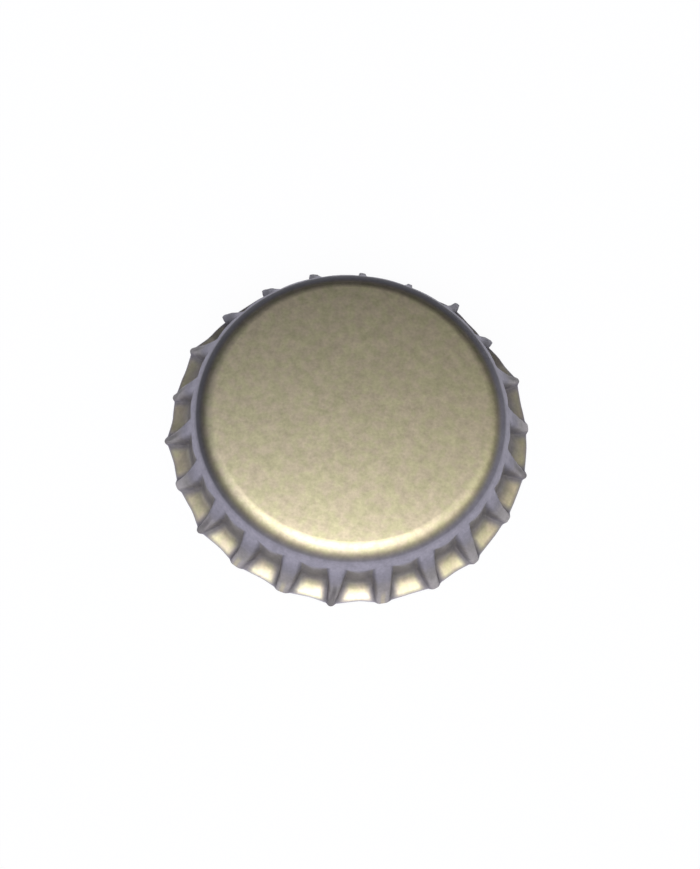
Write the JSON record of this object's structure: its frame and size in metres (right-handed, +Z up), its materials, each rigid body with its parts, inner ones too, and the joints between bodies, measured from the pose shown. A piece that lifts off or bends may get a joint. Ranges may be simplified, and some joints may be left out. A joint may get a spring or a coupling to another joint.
{
  "type": "crown bottle cap",
  "caption": "Uncrimped crown bottle cap: round, slightly domed lacquered tinplate top with a flaring fluted skirt, and a moulded sealing liner inside.",
  "frame": {"origin": "centre of the circle of teeth, in the plane that the cap stands on", "axes": "+Z up along the cap's axis, from the open side to the top; +X through a long tooth"},
  "size_m": [0.0321, 0.032, 0.006],
  "materials": {
    "lacquered_tinplate": "satin champagne-gold lacquer with a fine metallic grain",
    "sealing_compound": "smooth translucent off-white moulded compound"
  },
  "bodies": {
    "root": {"crown_shell": "lacquered_tinplate", "seal_liner": "sealing_compound"}
  },
  "joints": []
}
